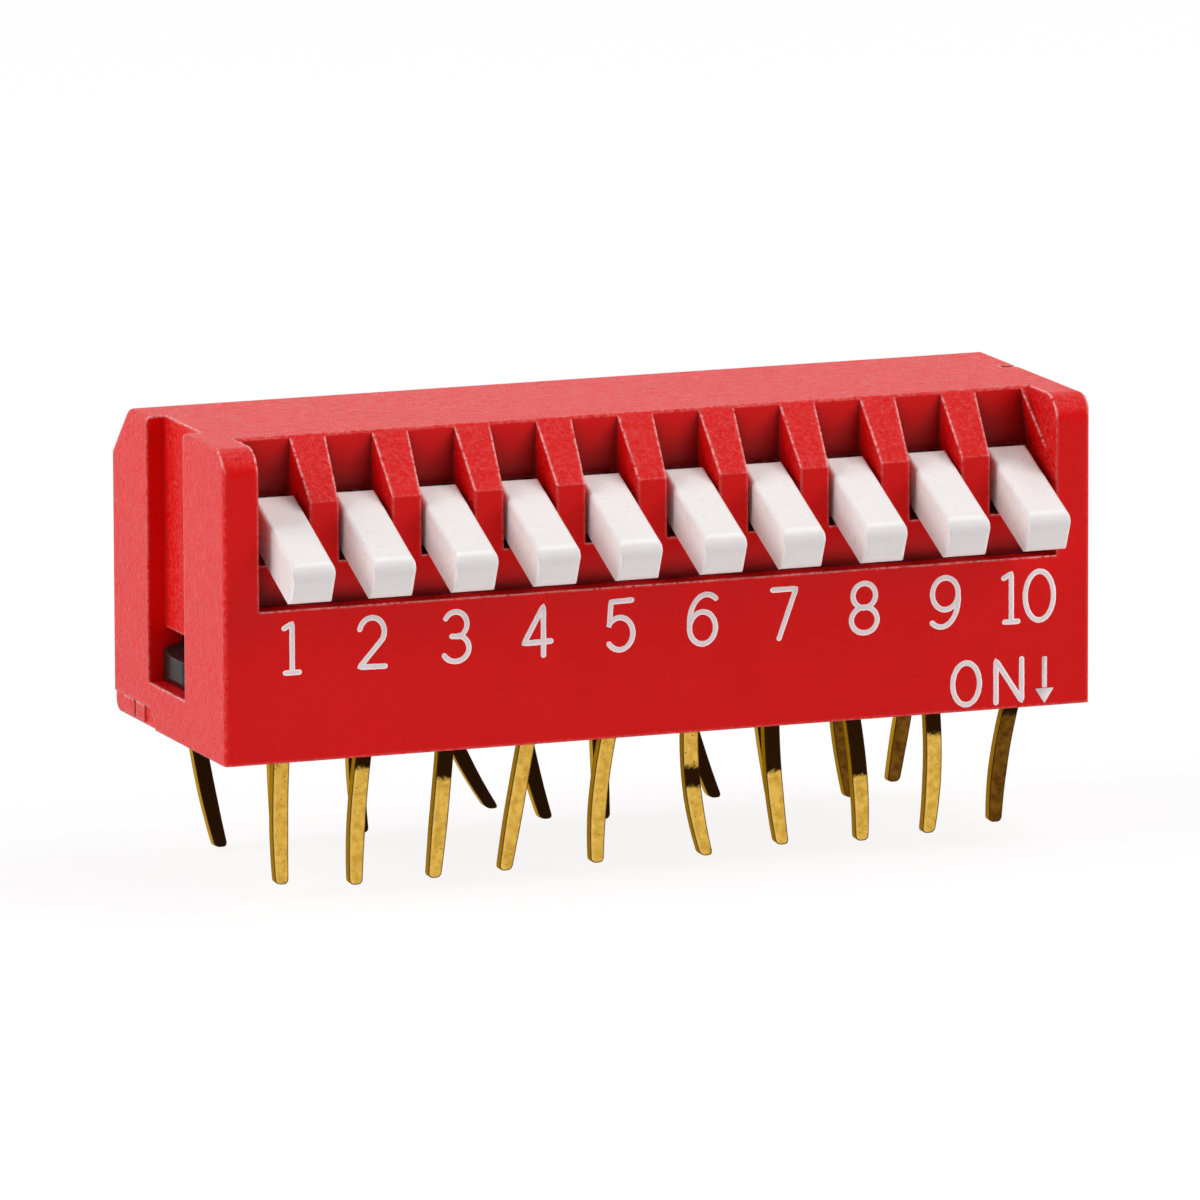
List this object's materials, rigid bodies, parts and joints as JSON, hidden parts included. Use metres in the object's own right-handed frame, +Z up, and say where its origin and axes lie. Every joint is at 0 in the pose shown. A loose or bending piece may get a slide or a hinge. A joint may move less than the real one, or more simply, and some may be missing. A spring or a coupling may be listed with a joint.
{
  "type": "dip switch",
  "caption": "Piano-style DIP switch: moulded housing with a row of rocking keys above two rows of gold-plated board legs.",
  "frame": {"origin": "on the board plane, midway between the two rows of legs and midway along them", "axes": "+X along the row of keys from way 1 to way 10, -Y out of the printed face the way the keys point, +Z up from the board"},
  "size_m": [0.027, 0.0116, 0.0134],
  "materials": {
    "red_plastic": "fine-grained moulded plastic, satin",
    "white_plastic": "smooth moulded plastic",
    "black_plastic": "moulded plastic",
    "gold_plate": "thin gold plating over copper alloy, tarnished",
    "spring_steel": "drawn wire"
  },
  "bodies": {
    "switch_body": {"housing": "red_plastic", "contact_base": "black_plastic", "bottom_plate": "red_plastic", "front_terminal_01": "gold_plate", "front_terminal_02": "gold_plate", "front_terminal_03": "gold_plate", "front_terminal_04": "gold_plate", "front_terminal_05": "gold_plate", "front_terminal_06": "gold_plate", "front_terminal_07": "gold_plate", "front_terminal_08": "gold_plate", "front_terminal_09": "gold_plate", "front_terminal_10": "gold_plate", "back_terminal_01": "gold_plate", "back_terminal_02": "gold_plate", "back_terminal_03": "gold_plate", "back_terminal_04": "gold_plate", "back_terminal_05": "gold_plate", "back_terminal_06": "gold_plate", "back_terminal_07": "gold_plate", "back_terminal_08": "gold_plate", "back_terminal_09": "gold_plate", "back_terminal_10": "gold_plate"},
    "rocker_01": {"key_01": "white_plastic", "spring_01": "spring_steel", "ball_01": "gold_plate"},
    "rocker_02": {"key_02": "white_plastic", "spring_02": "spring_steel", "ball_02": "gold_plate"},
    "rocker_03": {"key_03": "white_plastic", "spring_03": "spring_steel", "ball_03": "gold_plate"},
    "rocker_04": {"key_04": "white_plastic", "spring_04": "spring_steel", "ball_04": "gold_plate"},
    "rocker_05": {"key_05": "white_plastic", "spring_05": "spring_steel", "ball_05": "gold_plate"},
    "rocker_06": {"key_06": "white_plastic", "spring_06": "spring_steel", "ball_06": "gold_plate"},
    "rocker_07": {"key_07": "white_plastic", "spring_07": "spring_steel", "ball_07": "gold_plate"},
    "rocker_08": {"key_08": "white_plastic", "spring_08": "spring_steel", "ball_08": "gold_plate"},
    "rocker_09": {"key_09": "white_plastic", "spring_09": "spring_steel", "ball_09": "gold_plate"},
    "rocker_10": {"key_10": "white_plastic", "spring_10": "spring_steel", "ball_10": "gold_plate"}
  },
  "joints": [
    {"name": "key_01_rock", "type": "hinge", "parent": "switch_body", "child": "rocker_01", "pos_m": [-0.01143, -0.0015, 0.007], "axis": [-1, 0, 0], "range_deg": [0, 24]},
    {"name": "key_02_rock", "type": "hinge", "parent": "switch_body", "child": "rocker_02", "pos_m": [-0.00889, -0.0015, 0.007], "axis": [-1, 0, 0], "range_deg": [0, 24]},
    {"name": "key_03_rock", "type": "hinge", "parent": "switch_body", "child": "rocker_03", "pos_m": [-0.00635, -0.0015, 0.007], "axis": [-1, 0, 0], "range_deg": [0, 24]},
    {"name": "key_04_rock", "type": "hinge", "parent": "switch_body", "child": "rocker_04", "pos_m": [-0.00381, -0.0015, 0.007], "axis": [-1, 0, 0], "range_deg": [0, 24]},
    {"name": "key_05_rock", "type": "hinge", "parent": "switch_body", "child": "rocker_05", "pos_m": [-0.00127, -0.0015, 0.007], "axis": [-1, 0, 0], "range_deg": [0, 24]},
    {"name": "key_06_rock", "type": "hinge", "parent": "switch_body", "child": "rocker_06", "pos_m": [0.00127, -0.0015, 0.007], "axis": [-1, 0, 0], "range_deg": [0, 24]},
    {"name": "key_07_rock", "type": "hinge", "parent": "switch_body", "child": "rocker_07", "pos_m": [0.00381, -0.0015, 0.007], "axis": [-1, 0, 0], "range_deg": [0, 24]},
    {"name": "key_08_rock", "type": "hinge", "parent": "switch_body", "child": "rocker_08", "pos_m": [0.00635, -0.0015, 0.007], "axis": [-1, 0, 0], "range_deg": [0, 24]},
    {"name": "key_09_rock", "type": "hinge", "parent": "switch_body", "child": "rocker_09", "pos_m": [0.00889, -0.0015, 0.007], "axis": [-1, 0, 0], "range_deg": [0, 24]},
    {"name": "key_10_rock", "type": "hinge", "parent": "switch_body", "child": "rocker_10", "pos_m": [0.01143, -0.0015, 0.007], "axis": [-1, 0, 0], "range_deg": [0, 24]}
  ]
}
